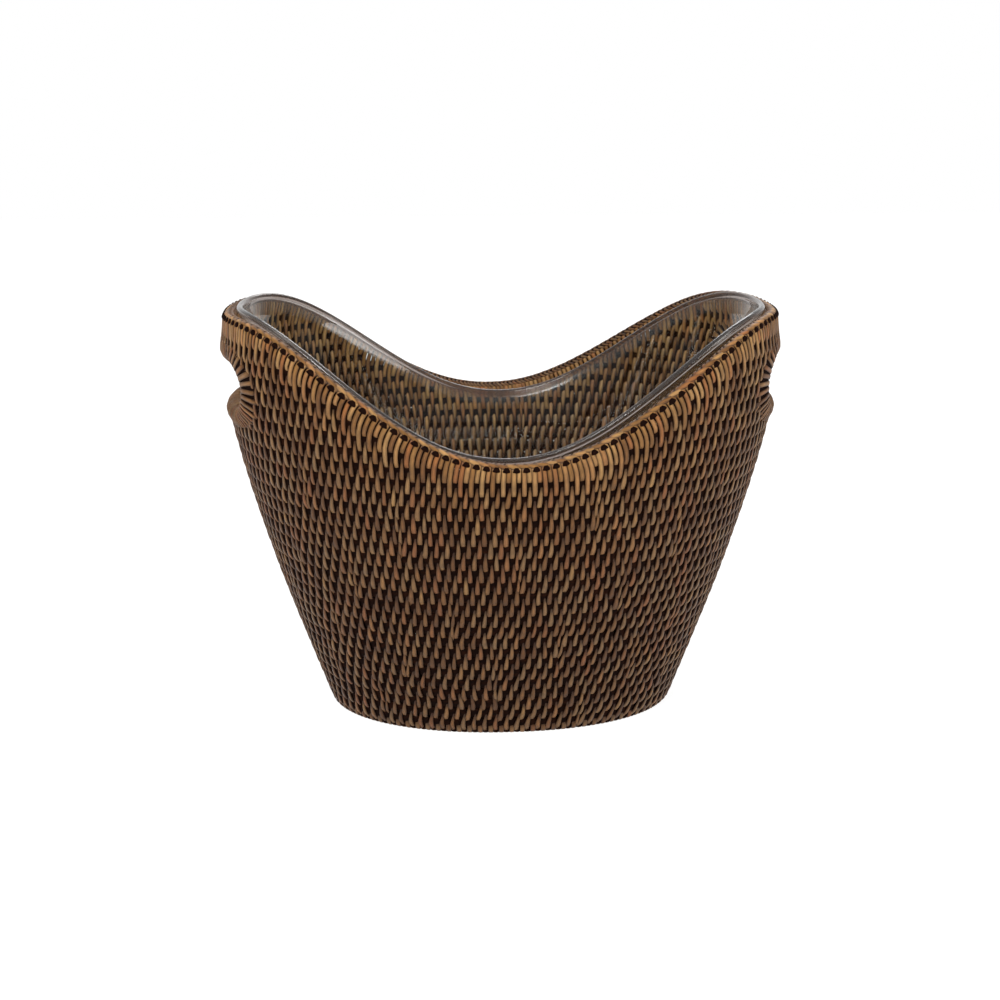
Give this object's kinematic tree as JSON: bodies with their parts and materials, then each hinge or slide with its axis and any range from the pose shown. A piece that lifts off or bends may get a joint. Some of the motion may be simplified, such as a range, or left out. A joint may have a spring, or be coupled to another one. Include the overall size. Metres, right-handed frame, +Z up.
{
  "type": "rattan wine bucket",
  "caption": "Oval double-walled woven rattan wine bucket with a saddle-shaped rim, a hand hole in each end and a clear lift-out liner.",
  "frame": {"origin": "on the ground below the middle of the bucket", "axes": "+Z up, +X along the long way of the oval, towards one hand hole"},
  "size_m": [0.355, 0.2586, 0.2571],
  "materials": {
    "woven_rattan": "brown stained rattan peel in a plain weave over near-black cross strips, satin lacquer",
    "braided_rattan": "golden tan rattan peel, wrapped and plaited, satin lacquer",
    "dark_rattan": "dark brown stained rattan peel, satin lacquer",
    "rattan_pole": "peeled rattan pole, matt",
    "clear_glass": "clear glass with a fire-polished round rim"
  },
  "bodies": {
    "basket": {"outer_weave": "woven_rattan", "inner_weave": "woven_rattan", "rim_hoop": "rattan_pole", "rim_braid": "braided_rattan", "base_hoop": "rattan_pole", "base_binding": "dark_rattan", "floor_weave": "woven_rattan", "floor_bar_1": "rattan_pole", "floor_bar_2": "rattan_pole", "floor_bar_3": "rattan_pole", "floor_bar_4": "rattan_pole", "hand_hole_frame_left": "rattan_pole", "hand_hole_lacing_left": "braided_rattan", "hand_hole_frame_right": "rattan_pole", "hand_hole_lacing_right": "braided_rattan", "rib_front_1": "rattan_pole", "rib_front_2": "rattan_pole", "rib_front_3": "rattan_pole", "rib_front_4": "rattan_pole", "rib_front_5": "rattan_pole", "rib_back_1": "rattan_pole", "rib_back_2": "rattan_pole", "rib_back_3": "rattan_pole", "rib_back_4": "rattan_pole", "rib_back_5": "rattan_pole", "rib_left_front_below_hole": "rattan_pole", "rib_left_front_above_hole": "rattan_pole", "rib_left_back_below_hole": "rattan_pole", "rib_left_back_above_hole": "rattan_pole", "rib_right_front_below_hole": "rattan_pole", "rib_right_front_above_hole": "rattan_pole", "rib_right_back_below_hole": "rattan_pole", "rib_right_back_above_hole": "rattan_pole"},
    "liner": {"clear_liner": "clear_glass"}
  },
  "joints": [
    {"name": "liner_lift", "type": "slide", "parent": "basket", "child": "liner", "axis": [0, 0, 1], "range_m": [0, 0.27]}
  ]
}
